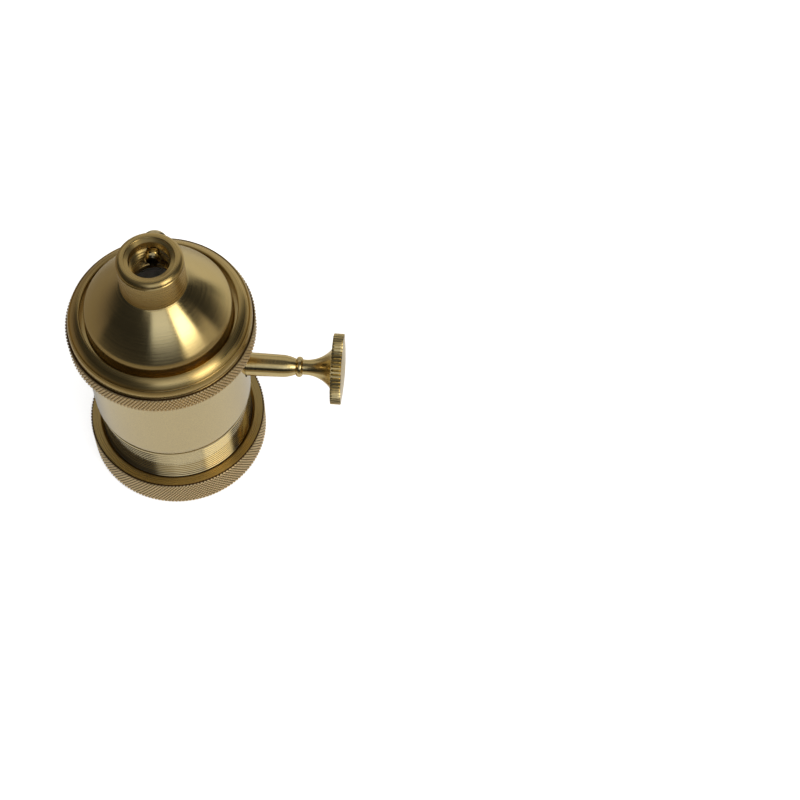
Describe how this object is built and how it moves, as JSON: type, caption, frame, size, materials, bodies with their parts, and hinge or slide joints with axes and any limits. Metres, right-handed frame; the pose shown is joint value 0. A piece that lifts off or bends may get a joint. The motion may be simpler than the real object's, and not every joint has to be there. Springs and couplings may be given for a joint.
{
  "type": "lamp holder",
  "caption": "Brass screw-cap lamp holder with a domed cap, a threaded neck, two knurled rings and a rotary switch knob on its side.",
  "frame": {"origin": "middle of the rim that the holder stands on, on the lamp's axis", "axes": "+Z along the lamp's axis towards the neck, +X along the knob's axis, +Y towards the head of the locking screw"},
  "size_m": [0.0688, 0.0468, 0.0824],
  "materials": {
    "satin_brass": "turned and brushed",
    "polished_brass": "polished",
    "contact_brass": "rolled, bright",
    "porcelain": "glazed",
    "steel": "zinc plated",
    "moulded_resin": "moulded"
  },
  "bodies": {
    "holder": {"dome_cap": "satin_brass", "cap_ring": "satin_brass", "shell": "polished_brass", "porcelain_core": "porcelain", "terminal_block": "porcelain", "screw_shell": "contact_brass", "centre_contact": "contact_brass", "centre_contact_rivet": "contact_brass", "fixed_contact": "contact_brass", "switch_blade": "contact_brass", "detent_spring": "steel", "neutral_strap": "contact_brass", "terminal_live": "contact_brass", "terminal_neutral": "contact_brass", "terminal_screw_live": "steel", "terminal_screw_neutral": "steel", "core_screw_front": "steel", "core_screw_rear": "steel"},
    "switch_knob": {"knob": "polished_brass", "switch_spindle": "steel", "switch_cam": "moulded_resin"},
    "shade_clamp": {"shade_ring": "satin_brass"},
    "neck_screw": {"locking_screw": "polished_brass"}
  },
  "joints": [
    {"name": "knob_turn", "type": "hinge", "parent": "holder", "child": "switch_knob", "pos_m": [0.03, 0, 0.0366], "axis": [1, 0, 0], "continuous": true},
    {"name": "shade_ring_travel", "type": "slide", "parent": "holder", "child": "shade_clamp", "axis": [0, 0, 1], "range_m": [0, 0.0131]},
    {"name": "locking_screw_travel", "type": "slide", "parent": "holder", "child": "neck_screw", "axis": [0, 1, 0], "range_m": [0, 0.004]}
  ]
}
